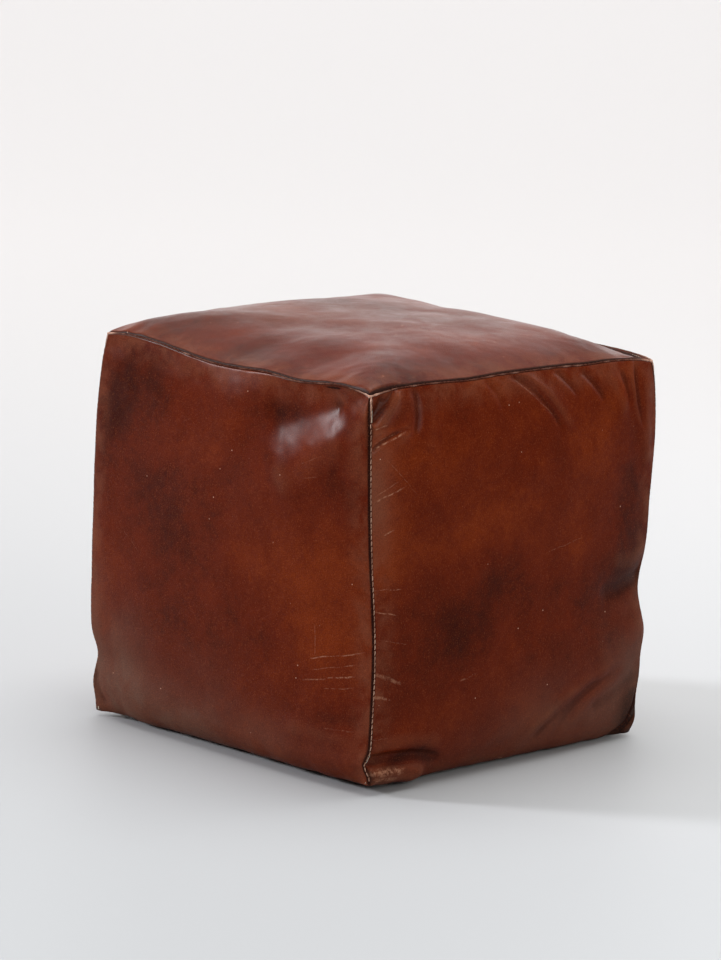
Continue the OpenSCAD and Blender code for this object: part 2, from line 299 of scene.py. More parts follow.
def cubic_weights(places, count):
    """Matrix that interpolates count evenly spaced samples on [-1, 1] at the given places."""
    x = (np.clip(places, -1, 1) + 1) / 2 * (count - 1)
    cell = np.clip(np.floor(x).astype(int), 0, count - 2)
    f = x - cell
    # a column more at each end; those samples are carried on in a straight line
    weights = np.zeros((len(x), count + 2))
    parts = [-0.5 * f + f ** 2 - 0.5 * f ** 3, 1 - 2.5 * f ** 2 + 1.5 * f ** 3,
             0.5 * f + 2 * f ** 2 - 1.5 * f ** 3, -0.5 * f ** 2 + 0.5 * f ** 3]
    for step, part in enumerate(parts):
        weights[np.arange(len(x)), cell + step] = part
    weights[:, 1:3] += np.outer(weights[:, 0], [2, -1])
    weights[:, -3:-1] += np.outer(weights[:, -1], [-1, 2])
    return weights[:, 1:-1]


def resample(grid, u, v):
    wu = cubic_weights(u, grid.shape[0])
    wv = cubic_weights(v, grid.shape[1])
    if grid.ndim == 2:
        return wu @ grid @ wv.T
    return np.stack([wu @ grid[..., k] @ wv.T for k in range(grid.shape[2])], axis=-1)


def cloud(seed, cells, u, v):
    """Smooth noise of about unit size over a face, with the given number of cells across."""
    rng = np.random.default_rng(seed)
    return resample(rng.standard_normal((cells + 1, cells + 1)) * 0.7, u, v)


def normals(points):
    du = np.gradient(points, axis=0)
    dv = np.gradient(points, axis=1)
    n = np.cross(du, dv)
    return n / np.maximum(np.linalg.norm(n, axis=-1, keepdims=True), 1e-12)


def crowded(count):
    """Places from -1 to 1 that lie closer together towards both ends."""
    t = np.linspace(-1, 1, count + 1)
    return 0.82 * np.sin(t * math.pi / 2) + 0.18 * t


def make_mesh(name, points, quads, tris=None):
    mesh = bpy.data.meshes.new(name)
    faces = [np.asarray(quads, np.int32).reshape(-1, 4)]
    loops = faces[0].ravel()
    sizes = np.full(len(faces[0]), 4, np.int32)
    if tris is not None and len(tris):
        loops = np.concatenate([loops, np.asarray(tris, np.int32).ravel()])
        sizes = np.concatenate([sizes, np.full(len(tris), 3, np.int32)])
    mesh.vertices.add(len(points))
    mesh.vertices.foreach_set("co", np.asarray(points, np.float32).ravel())
    mesh.loops.add(len(loops))
    mesh.loops.foreach_set("vertex_index", loops.astype(np.int32))
    mesh.polygons.add(len(sizes))
    starts = np.concatenate([[0], np.cumsum(sizes)[:-1]]).astype(np.int32)
    mesh.polygons.foreach_set("loop_start", starts)
    mesh.polygons.foreach_set("use_smooth", np.ones(len(sizes), bool))
    mesh.update(calc_edges=True)
    mesh.validate()
    thing = bpy.data.objects.new(name, mesh)
    bpy.context.scene.collection.objects.link(thing)
    return thing


def grid_quads(rows, columns, start=0, flip=False):
    i, j = np.meshgrid(np.arange(rows - 1), np.arange(columns - 1), indexing="ij")
    a = start + i * columns + j
    quad = np.stack([a, a + columns, a + columns + 1, a + 1], axis=-1).reshape(-1, 4)
    return quad[:, ::-1] if flip else quad


def shell(name, outer, inner, marks=None):
    """A closed sheet between two grids of the same size. marks are numbers for each outer point."""
    rows, columns = outer.shape[:2]
    under = rows * columns
    index = np.arange(under).reshape(rows, columns)
    rim = np.concatenate([index[:-1, 0], index[-1, :-1], index[:0:-1, -1], index[0, :0:-1]])
    ahead = np.roll(rim, -1)
    walls = np.stack([rim, under + rim, under + ahead, ahead], axis=-1)
    quads = np.concatenate([grid_quads(rows, columns),
                            grid_quads(rows, columns, under, flip=True), walls])
    points = np.concatenate([outer.reshape(-1, 3), inner.reshape(-1, 3)])
    thing = make_mesh(name, points, quads)
    for key, values in (marks or {}).items():
        layer = thing.data.attributes.new(key, "FLOAT", "POINT")
        flat = np.concatenate([values.ravel(), np.zeros(under)]).astype(np.float32)
        layer.data.foreach_set("value", flat)
    return thing


def welded(grids, fineness):
    """One closed net of the six face grids: its points, its quads, and the place among its points
    of every grid point."""
    points = np.concatenate([grid.reshape(-1, 3) for grid in grids])
    keys = np.round(points * fineness).astype(np.int64)
    _, first, same = np.unique(keys, axis=0, return_index=True, return_inverse=True)
    same = same.ravel()
    side = len(grids[0])
    quads = np.concatenate([grid_quads(side, side, k * side ** 2) for k in range(len(grids))])
    return points[first], same[quads], same


# ---- cloth simulation

SIM_CELLS = 64
SIM_FRAMES = 20
SIM_CAP = 0.008           # the furthest that a point may move
# From here to SLACK_OVER further towards a seam, as a share of half a face, the leather is cut long
SLACK_FROM, SLACK_OVER = 0.72, 0.2
CLOTH = {
    "quality": 5, "mass": 0.6, "tension_stiffness": 40, "compression_stiffness": 25,
    "shear_stiffness": 10, "bending_stiffness": 3, "tension_damping": 10, "air_damping": 4,
    "vertex_group_mass": "pin", "use_pressure": True, "uniform_pressure_force": 4,
    "vertex_group_shrink": "loose", "shrink_min": 0.0, "shrink_max": -0.03,
}


def simulate():
    """Inflates the six sewn faces as one leather cover and returns a grid of points for each face."""
    t = np.linspace(-1, 1, SIM_CELLS + 1)
    start = {face: bulged(face, t, t) for face in FACES}
    points, quads, same = welded(list(start.values()), 2e5)
    cover = make_mesh("cover", points, quads)

    edge = np.maximum(np.abs(t)[:, None], np.abs(t)[None, :])
    held = (edge > 1 - 1e-6).astype(float)
    # cloth near the seams is cut a little long, so that it gathers as it is sewn
    near = smooth((edge - SLACK_FROM) / SLACK_OVER)
    size = edge.size
    pin = np.zeros(len(points))
    loose = np.zeros(len(points))
    for k, face in enumerate(FACES):
        ids = same[k * size:(k + 1) * size]
        np.maximum.at(pin, ids, 1.0 if face == "base" else held.ravel())
        amount = near * (0.6 + 0.4 * cloud(70 + k, 7, t, t))
        np.maximum.at(loose, ids, np.clip(amount, 0, 1).ravel())
    for name, weights in (("pin", pin), ("loose", loose)):
        group = cover.vertex_groups.new(name=name)
        for level in np.unique(np.round(weights, 2)):
            ids = np.flatnonzero(np.abs(weights - level) < 0.00501)
            group.add([int(i) for i in ids], float(level), "REPLACE")

    cloth = cover.modifiers.new("cloth", "CLOTH")
    for key, value in CLOTH.items():
        setattr(cloth.settings, key, value)
    cloth.settings.effector_weights.gravity = 0
    cloth.collision_settings.use_collision = False
    cloth.collision_settings.use_self_collision = False
    cloth.point_cache.frame_start = 1
    cloth.point_cache.frame_end = SIM_FRAMES
    for number in range(1, SIM_FRAMES + 1):
        bpy.context.scene.frame_set(number)
    settled = cover.evaluated_get(bpy.context.evaluated_depsgraph_get()).to_mesh()
    out = np.zeros(len(points) * 3, np.float32)
    settled.vertices.foreach_get("co", out)
    out = out.reshape(-1, 3).astype(float)
    bpy.context.scene.frame_set(1)
    bpy.data.objects.remove(cover)
    moved = out - points
    length = np.linalg.norm(moved, axis=1, keepdims=True)
    out = points + moved * (SIM_CAP * np.tanh(length / SIM_CAP) / np.maximum(length, 1e-9))
    return {face: out[same[k * size:(k + 1) * size]].reshape(SIM_CELLS + 1, SIM_CELLS + 1, 3)
            for k, face in enumerate(FACES)}


skin = simulate()

# ---- folds

# A fold is (kind, start across, start up, end across, end up, bend, half width, height) on its face:
# across from the face's middle, and up from the floor or, on the top, behind its middle. A ridge
# stands proud, a hollow sinks, a crease sinks with raised lips, and a step is raised on its left side.
FOLDS = {
    "front": [
        ("hollow", 160, 392, 66, 360, 0, 25, 5.2), ("hollow", 158, 390, 150, 384, 0, 7, 0.9),
        ("ridge", 172, 350, 82, 300, 3, 27, 4.2), ("ridge", 190, 392, 184, 310, 0, 12, 1.8),
        ("ridge", 40, 394, -20, 345, 4, 24, 0.8), ("hollow", -150, 350, -60, 290, -10, 60, 2.2),
        ("ridge", -185, 380, -150, 345, 2, 14, 0.8), ("ridge", -190, 340, -185, 120, 6, 22, 1.8),
        ("hollow", -198, 48, -186, 16, -3, 6, 2), ("ridge", 100, 52, 198, 50, 3, 14, 2),
        ("hollow", 140, 68, 195, 72, 0, 12, 1.2),
    ],
    "right": [
        ("step", -174, 404, -210, 371, 3, 11, 5.2), ("hollow", -190, 399, -207, 378, 0, 4.8, 4.2),
        ("crease", -209, 367.5, -188, 371.2, 0.6, 1.8, 1.3),
        ("crease", -206, 350, -164, 366, 3, 2.1, 1.6), ("ridge", -200, 345, -165, 357, 2, 7, 1.4),
        ("ridge", -158, 398, -166, 360, 2, 9, 2), ("crease", -148, 402, -152, 362, 3, 4, 1),
        ("ridge", -126, 398, -136, 345, 3, 12, 1.4), ("crease", -50, 404, -30, 375, 3, 4, 0.9),
        ("crease", -12, 405, 50, 352, 6, 4.2, 1.6), ("ridge", 6, 402, 66, 350, 6, 10, 1.7),
        ("crease", 50, 404, 78, 380, 2, 3.6, 1.2), ("crease", 90, 400, 118, 372, 2, 4, 1.2),
        ("ridge", 120, 396, 150, 352, 4, 12, 2), ("step", 176, 340, 168, 398, 4, 10, 2.6),
        ("crease", 150, 392, 158, 362, 2, 4, 1.4), ("ridge", 186, 385, 190, 300, -3, 10, 3),
        ("hollow", 200, 178, 128, 166, 4, 12, 3.2), ("ridge", 198, 206, 140, 200, 3, 10, 1.2),
        ("ridge", 198, 130, 120, 96, 6, 28, 3), ("hollow", 196, 70, 120, 46, 4, 14, 2),
        ("crease", 150, 80, 70, 34, -5, 6, 1.6), ("crease", 118, 72, 40, 28, -4, 6, 1.4),
        ("ridge", 90, 70, 20, 30, -4, 9, 1.4), ("hollow", 202, 50, 168, 6, 6, 4, 3.4),
        ("ridge", 206, 34, 186, 8, 2, 10, 3), ("hollow", -208, 36, -108, 28, 5, 5.5, 4.6),
        ("ridge", -203, 20, -128, 14, 4, 10, 7.2), ("ridge", -200, 52, -110, 48, 4, 14, 2),
        ("crease", -160, 20, -130, 12, 2, 3, 1),
    ],
    "top": [
        ("hollow", -20, -165, 100, -170, 0, 28, 2.6), ("ridge", -100, -100, -178, -178, 0, 22, 2.4),
        ("ridge", 100, -100, 190, -190, 0, 22, 3.2), ("hollow", 110, 185, 190, 185, 0, 34, 6),
        ("ridge", -120, 120, -180, 180, 0, 20, 2.2), ("ridge", -140, -185, -100, -130, 4, 12, 1.2),
        ("hollow", -60, -120, 50, -80, 20, 30, 1.6), ("ridge", 40, 0, 130, -60, 10, 30, 1.6),
    ],
    "back": [
        ("step", 176, 400, 204, 366, -2, 11, 3.4), ("crease", -160, 402, -110, 362, -4, 4.5, 1.8),
        ("ridge", 20, 394, 70, 350, 5, 12, 2), ("hollow", 100, 300, 160, 200, 10, 40, 2.2),
        ("crease", -190, 40, -105, 30, 3, 6, 3), ("ridge", -185, 22, -120, 18, 2, 9, 3),
        ("hollow", 190, 60, 120, 80, 3, 16, 3),
    ],
    "left": [
        ("step", -206, 366, -180, 400, 2, 11, 3.4), ("crease", 140, 402, 105, 352, 4, 4.5, 1.8),
        ("ridge", -50, 395, -90, 345, 4, 12, 1.8), ("hollow", -120, 280, -50, 200, 10, 45, 2.2),
        ("crease", 190, 38, 90, 30, -3, 6, 3), ("hollow", -186, 70, -120, 55, 3, 15, 3),
    ],
}


def fold_profile(kind, d, width):
    """Height across a fold, at distance d to its side."""
    x = d / width
    if kind == "ridge":
        return np.exp(-x ** 2)
    if kind == "hollow":
        return -np.exp(-x ** 2)
    if kind == "step":
        return ((0.5 + 0.5 * np.tanh(x / 0.16)) * np.exp(-np.maximum(x, 0) ** 2)
                - 0.4 * np.exp(-((x + 0.25) / 0.4) ** 2))
    lips = 0.45 * np.exp(-((x - 1.9) / 0.9) ** 2) + 0.3 * np.exp(-((x + 2) / 1.1) ** 2)
    return lips - np.exp(-x ** 2)


def softened(grid, reach):
    """The grid averaged over squares of reach cells to each side."""
    for axis in (0, 1):
        grid = np.moveaxis(grid, axis, 0)
        padded = np.concatenate([grid[:1].repeat(reach + 1, 0), grid, grid[-1:].repeat(reach, 0)])
        total = np.cumsum(padded, axis=0)
        grid = np.moveaxis((total[2 * reach + 1:] - total[:-2 * reach - 1]) / (2 * reach + 1), 0, axis)
    return grid


def folded(face, across, up):
    """Height of all the folds of a face."""
    height = np.zeros(across.shape)
    for kind, *numbers in FOLDS[face]:
        *ends, bend, width, amount = (number / 1000 for number in numbers)
        start, run = np.array(ends[:2]), np.array(ends[2:]) - ends[:2]
        length = np.linalg.norm(run)
        along_dir = run / length
        side_dir = np.array([-along_dir[1], along_dir[0]])
        dx, dy = across - start[0], up - start[1]
        s = (dx * along_dir[0] + dy * along_dir[1]) / length
        d = dx * side_dir[0] + dy * side_dir[1] - bend * 4 * s * (1 - s)
        beyond = np.maximum(np.maximum(-s, s - 1) * length, 0)
        taper = 0.35 + 0.65 * smooth(np.minimum(s, 1 - s) * 4 + 0.5)
        taper = np.exp(-(beyond / (width * 1.6)) ** 2) * taper
        height += amount * fold_profile(kind, d, width) * taper
    return height


# ---- materials

RANGE = ("From Min", "From Max", "To Min", "To Max")


class Nodes:
    """Short calls for building a material's nodes."""

    def __init__(self, name):
        self.material = bpy.data.materials.new(name)
        self.material.use_nodes = True
        self.tree = self.material.node_tree
        self.shader = self.tree.nodes["Principled BSDF"]
        self.place = self.add("ShaderNodeTexCoord").outputs["Object"]

    def add(self, kind, **inputs):
        node = self.tree.nodes.new(kind)
        for key, value in inputs.items():
            self.link(value, node.inputs[key.replace("_", " ")])
        return node

    def link(self, value, socket):
        if isinstance(value, bpy.types.NodeSocket):
            self.tree.links.new(value, socket)
        else:
            socket.default_value = value

    def moved(self, offset, scale=(1, 1, 1)):
        node = self.add("ShaderNodeMapping", Vector=self.place, Location=offset, Scale=scale)
        return node.outputs["Vector"]

    def noise(self, scale, detail=2.0, rough=0.5, bend=0.0, at=None):
        node = self.add("ShaderNodeTexNoise", Vector=at or self.place, Scale=scale, Detail=detail,
                        Roughness=rough, Distortion=bend)
        return node.outputs["Fac"]

    def cells(self, scale, at):
        return self.add("ShaderNodeTexVoronoi", Vector=at, Scale=scale).outputs["Distance"]

    def wave(self, scale, direction, bend=0.0):
        node = self.add("ShaderNodeTexWave", Vector=self.place, Scale=scale, Distortion=bend)
        node.bands_direction = direction
        return node.outputs["Fac"]

    def vector(self, kind, *values, output="Vector"):
        node = self.tree.nodes.new("ShaderNodeVectorMath")
        node.operation = kind
        for value, socket in zip(values, node.inputs):
            self.link(value, socket)
        return node.outputs[output]

    def number(self, name):
        node = self.tree.nodes.new("ShaderNodeAttribute")
        node.attribute_name = name
        return node.outputs["Fac"]

    def math(self, kind, a, b=0.0, c=0.0, clamp=False):
        node = self.tree.nodes.new("ShaderNodeMath")
        node.operation = kind
        node.use_clamp = clamp
        for value, socket in zip((a, b, c), node.inputs):
            self.link(value, socket)
        return node.outputs[0]

    def fit(self, value, low, high, to_low=0.0, to_high=1.0):
        node = self.add("ShaderNodeMapRange", Value=value)
        node.interpolation_type = "SMOOTHSTEP"
        for key, amount in zip(RANGE, (low, high, to_low, to_high)):
            node.inputs[key].default_value = amount
        return node.outputs["Result"]

    def mix(self, share, a, b, kind="MIX"):
        node = self.tree.nodes.new("ShaderNodeMix")
        node.data_type = "RGBA"
        node.blend_type = kind
        self.link(share, node.inputs["Factor"])
        for value, socket in ((a, node.inputs[6]), (b, node.inputs[7])):
            self.link(value if isinstance(value, bpy.types.NodeSocket) else (*value, 1.0), socket)
        return node.outputs[2]

    def bump(self, height, strength, distance, below=None):
        node = self.add("ShaderNodeBump", Height=height, Strength=strength, Distance=distance)
        if below is not None:
            self.link(below, node.inputs["Normal"])
        return node.outputs["Normal"]

    def finish(self, color, rough, normal, **constants):
        self.link(color, self.shader.inputs["Base Color"])
        self.link(rough, self.shader.inputs["Roughness"])
        self.link(normal, self.shader.inputs["Normal"])
        for key, value in constants.items():
            self.shader.inputs[key.replace("_", " ")].default_value = value
        return self.material


def paint(mesh, material):
    mesh.materials.clear()
    mesh.materials.append(material)


def dress(thing, material, slot, *replaced):
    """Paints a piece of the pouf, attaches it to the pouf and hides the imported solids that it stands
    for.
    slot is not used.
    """
    paint(thing.data, material)
    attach(thing, POUF)
    if replaced:
        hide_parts(*replaced)


# Colours of the leather, and of the painted shade, highlights and sheen on it
DARK_DYE = (0.034, 0.0034, 0.0009)
MID_DYE = (0.096, 0.0096, 0.0016)
WARM_DYE = (0.168, 0.0235, 0.0032)
PALE_EDGE_AND_RIDGE_HIGHLIGHT = (0.190, 0.062, 0.030)
DULL_SHEEN_TONE = (0.118, 0.058, 0.040)
DEEP_SHADE = (0.0085, 0.0026, 0.0019)
GROOVE_SHADE = (0.013, 0.0026, 0.0013)
CREASE_SHADE = (0.020, 0.0045, 0.0030)
DARK_SPECK, PALE_SPECK = (0.018, 0.0035, 0.002), (0.30, 0.085, 0.030)
NICK = (0.50, 0.27, 0.18)
SCRATCH_AND_GLINT = (0.36, 0.17, 0.10)


def streak(n, face, x0, y0, x1, y1, width, seed):
    """A pale line on a face between two places on it, broken up by noise: 1 on the line, 0 off it. It
    draws worn scratches and painted highlights along creases.
    """
    axes = np.array([FACES[face][1], (0, 0, 1)], float)
    start = np.array([x0, y0]) / 1000 @ axes
    run = np.array([x1, y1]) / 1000 @ axes - start
    length = float(np.linalg.norm(run))
    wobble = n.add("ShaderNodeTexNoise", Vector=n.place, Scale=60.0, Detail=3.0)
    offset = n.vector("MULTIPLY_ADD", wobble.outputs["Color"], 3 * (0.004,), tuple(-start - 0.002))
    flat = n.vector("MULTIPLY", n.vector("ADD", n.place, offset), tuple(np.abs(axes).sum(0)))
    along = n.vector("DOT_PRODUCT", flat, tuple(run / length ** 2), output="Value")
    share = n.math("MULTIPLY", along, 1.0, clamp=True)
    gap = n.vector("DISTANCE", flat, n.vector("MULTIPLY", tuple(run), share), output="Value")
    line = n.fit(gap, width / 1000, width / 4000)
    ends = n.math("MULTIPLY", n.fit(share, 0.0, 0.12), n.fit(share, 1.0, 0.75))
    broken = n.fit(n.noise(95.0 + seed, 6.0, 0.8), 0.43, 0.60)
    return n.math("MULTIPLY", n.math("MULTIPLY", line, ends), broken)


def leather(face, number):
    """Hand-dyed, glazed leather: clouded colour, fine grain, a paler tone towards the seams and a few
    scratches, with painted shade in hollows, seam grooves, a pocket and an ear, painted highlights on
    fold ridges and creases, and painted sheen low on the sides. The top is polished by use."""
    n = Nodes(face + "_leather")
    at = n.moved((0.37 * number, 0.83 * number, -0.51 * number))
    dye_and_painted_light = n.math("MULTIPLY_ADD", n.number("dye_and_painted_light"), 0.5, 0.5)
    layers = ((7.0, 3.0, 0.6, 0.9), (30.0, 4.0, 0.5, 0.5), (150.0, 3.0, 0.0, 0.35))
    for scale, detail, bend, amount in layers:
        cloudy = n.math("SUBTRACT", n.noise(scale, detail, 0.58, bend, at), 0.5)
        dye_and_painted_light = n.math("MULTIPLY_ADD", cloudy, amount, dye_and_painted_light)
    color = n.mix(n.fit(dye_and_painted_light, 0.0, 0.55), DARK_DYE, MID_DYE)
    color = n.mix(n.fit(dye_and_painted_light, 0.45, 1.0), color, WARM_DYE)
    edge = n.number("edge")
    uneven = n.fit(n.noise(40.0, 3.0, 0.6, 0.3, at), 0.3, 0.7)
    # paler towards the seams
    color = n.mix(n.math("MULTIPLY", n.fit(edge, 0.034, 0.004, 0.0, 0.45), uneven), color, PALE_EDGE_AND_RIDGE_HIGHLIGHT)
    # painted shade: where the colour mark is far below zero, at the ear of the right face's far foot
    # and in the pleat's pocket, the leather is painted nearly black
    color = n.mix(n.fit(n.number("dye_and_painted_light"), -0.9, -1.9, 0.0, 0.92), color, DEEP_SHADE)
    # painted shade in the groove along each seam
    groove = n.fit(edge, 0.0026, 0.0010)
    color = n.mix(n.math("MULTIPLY", groove, 0.95), color, GROOVE_SHADE)
    # painted sheen: a greyer tone where the sides would reflect the floor and the light
    uneven = n.fit(n.noise(12.0, 4.0, 0.6, 0.4, at), 0.3, 0.7, 0.45, 1.0)
    color = n.mix(n.math("MULTIPLY", n.number("dulling_and_sheen"), uneven), color, DULL_SHEEN_TONE)
    # painted shade in the hollows of sharp folds and a painted highlight on their ridges
    fold = n.number("fold")
    color = n.mix(n.fit(fold, -0.25, -1.6, 0.0, 0.45), color, CREASE_SHADE)
    color = n.mix(n.fit(fold, 0.25, 1.5, 0.0, 0.22), color, PALE_EDGE_AND_RIDGE_HIGHLIGHT)
    speck = n.noise(760.0, 3.0, 0.75, 0.0, at)
    color = n.mix(n.fit(speck, 0.50, 0.30, 0.0, 0.35), color, DARK_SPECK)
    color = n.mix(n.fit(speck, 0.52, 0.78, 0.0, 0.42), color, PALE_SPECK)
    nick = n.fit(n.cells(60.0, at), 0.055, 0.02)
    nick = n.math("MULTIPLY", nick, n.fit(n.noise(38.0, 1.0, 0.5, 0.0, at), 0.52, 0.60))
    color = n.mix(nick, color, NICK)
    # worn scratches, and painted highlights along creases and on an ear
    worn_and_glint_lines = None
    for k, (*line, strength) in enumerate(SCRATCHES_AND_GLINTS.get(face, [])):
        line = n.math("MULTIPLY", streak(n, face, *line, 13.0 * k), strength)
        worn_and_glint_lines = line if worn_and_glint_lines is None else n.math("MAXIMUM", worn_and_glint_lines, line)
    if worn_and_glint_lines is not None:
        color = n.mix(worn_and_glint_lines, color, SCRATCH_AND_GLINT)
    rough = n.fit(n.noise(30.0, 4.0, 0.6, 0.5, at), 0.3, 0.7, 0.34, 0.46)
    rough = n.math("MULTIPLY_ADD", speck, 0.10, rough)
    rough = n.math("MULTIPLY_ADD", groove, 0.45, rough)
    normal = n.bump(n.noise(60.0, 3.0, 0.5, 0.0, at), 0.22, 0.0010)
    normal = n.bump(n.cells(800.0, at), 0.36, 0.0006, normal)
    normal = n.bump(n.noise(1100.0, 2.0, 0.7, 0.0, at), 0.28, 0.0005, normal)
    gloss, coat, softness = (0.095, 0.16, 0.42) if face == "top" else (0.006, 0.105, 0.26)
    return n.finish(color, rough, normal, Specular_IOR_Level=gloss, Coat_Weight=coat,
                    Specular_Tint=(1.0, 0.78, 0.70, 1.0), Coat_Roughness=softness)


# Worn scratches and scuffs, and painted highlights along creases and on an ear: start across, start
# up, end across, end up, half width, strength from 0 to 1
SCRATCHES_AND_GLINTS = {
    "front": [
        (130, 128, 204, 147, 0.8, 0.6), (134, 118, 203, 135, 0.7, 0.45),
        (122, 104, 202, 124, 1, 0.7), (150, 101, 190, 109, 0.6, 0.35),
        (138, 165, 139, 130, 0.7, 0.3), (112, 322, 150, 338, 0.6, 0.25),
        (120, 310, 146, 316, 0.5, 0.25), (150, 60, 192, 64, 0.8, 0.3),
        (-150, 210, -120, 190, 0.6, 0.2),
    ],
    "right": [
        (-206, 297, -163, 312, 1, 0.75), (-204, 303, -172, 318, 0.7, 0.5),
        (-194, 265, -180, 269, 1.1, 0.9), (-204, 189, -174, 183, 0.8, 0.6),
        (-204, 211, -168, 208, 0.7, 0.5), (-202, 127, -164, 112, 2.6, 0.45),
        (-204, 104, -178, 97, 2.2, 0.5), (-90, 105, -64, 112, 1.2, 0.4),
        # from (-206, 370.5) to (-205, 356): painted highlights along the creases at the front top
        # corner; (-200, 24) and (-196, 17): a painted highlight on the ear at the front foot
        (-206, 370.5, -186, 373.5, 1.3, 0.75), (-206, 350, -162, 366, 1, 0.8),
        (-205, 356, -176, 364, 0.7, 0.5), (-200, 24, -150, 21, 5.5, 0.7),
        (-196, 17, -160, 13, 3, 0.5), (-10, 402, 46, 358, 0.8, 0.35), (30, 222, 90, 232, 0.6, 0.3),
        (-196, 160, -160, 152, 0.6, 0.3), (-190, 340, -150, 300, 0.6, 0.25),
        (-204, 60, -180, 58, 0.8, 0.35),
    ],
}


def raw_leather_material():
    n = Nodes("raw_leather_edge")
    grain = n.noise(600.0, 3.0, 0.6)
    color = n.mix(n.fit(grain, 0.35, 0.65), (0.045, 0.011, 0.005), (0.115, 0.036, 0.020))
    color = n.mix(n.fit(n.noise(40.0, 2.0), 0.40, 0.65, 0.0, 0.7), color, (0.055, 0.012, 0.006))
    pale = n.mix(n.fit(grain, 0.3, 0.7), (0.38, 0.19, 0.13), (0.60, 0.38, 0.29))
    color = n.mix(n.number("bare"), color, pale)
    return n.finish(color, 0.8, n.bump(n.noise(1800.0, 2.0), 0.4, 0.0003), Specular_IOR_Level=0.06)


def thread_material(name, low, high):
    n = Nodes(name)
    twist = n.wave(900.0, "DIAGONAL", 1.0)
    color = n.mix(n.fit(n.noise(300.0, 2.0), 0.3, 0.7), low, high)
    color = n.mix(n.fit(n.noise(55.0, 2.0), 0.45, 0.65, 0.0, 0.5), color, (0.12, 0.035, 0.018))
    return n.finish(color, 0.7, n.bump(twist, 0.5, 0.0002), Specular_IOR_Level=0.1)


def canvas_material():
    n = Nodes("cotton_canvas")
    weave = n.math("MAXIMUM", n.wave(380.0, "X"), n.wave(380.0, "Y"))
    weave = n.math("MAXIMUM", weave, n.wave(380.0, "Z"))
    color = n.mix(n.fit(n.noise(160.0, 3.0), 0.3, 0.7), (0.58, 0.50, 0.38), (0.74, 0.68, 0.55))
    color = n.mix(n.fit(weave, 0.2, 0.0, 0.0, 0.4), color, (0.34, 0.28, 0.20))
    return n.finish(color, 0.9, n.bump(weave, 0.6, 0.0004))


def wadding_material():
    n = Nodes("cotton_wadding")
    fibre = n.noise(240.0, 6.0, 0.7, 1.5)
    color = n.mix(n.fit(fibre, 0.3, 0.7), (0.66, 0.60, 0.50), (0.86, 0.83, 0.76))
    color = n.mix(n.fit(n.noise(30.0, 2.0), 0.55, 0.7, 0.0, 0.5), color, (0.45, 0.38, 0.36))
    return n.finish(color, 1.0, n.bump(fibre, 0.8, 0.002))


def tape_material():
    n = Nodes("zip_tape_weave")
    weave = n.math("MULTIPLY", n.wave(420.0, "X"), n.wave(300.0, "Y"))
    color = n.mix(weave, (0.035, 0.018, 0.012), (0.12, 0.060, 0.036))
    return n.finish(color, 0.85, n.bump(weave, 0.6, 0.0003))


def brass_material():
    n = Nodes("worn_brass")
    cloudy = n.noise(160.0, 4.0, 0.6)
    color = n.mix(n.fit(cloudy, 0.4, 0.7), (0.62, 0.42, 0.17), (0.42, 0.26, 0.10))
    brushed = n.noise(900.0, 2.0, 0.5, 0.0, n.moved((0, 0, 0), (0.15, 1, 1)))
    rough = n.fit(cloudy, 0.3, 0.7, 0.24, 0.42)
    return n.finish(color, rough, n.bump(brushed, 0.2, 0.0002), Metallic=1.0)


raw_leather = raw_leather_material()
thread = thread_material("waxed_thread", (0.33, 0.175, 0.115), (0.50, 0.31, 0.22))
dark_thread = thread_material("brown_thread", (0.045, 0.012, 0.007), (0.10, 0.032, 0.018))
canvas = canvas_material()
wadding = wadding_material()
woven_tape = tape_material()
brass = brass_material()

# ---- leather panels

PANEL_CELLS = 216
SEAM_GAP = 0.0006        # from the seam's middle to the edge of each panel
ROLL_RADIUS = 0.0030     # the leather rolls into the seam with this radius
ROLL_SHARE = 0.8         # and goes this share of the way down
FLAT_EDGE = 0.004        # folds fade out this close to a seam
GATHERS = 31             # places along a seam where a gather may run out from it
GATHER_HEIGHT = 0.00085
places = crowded(PANEL_CELLS)


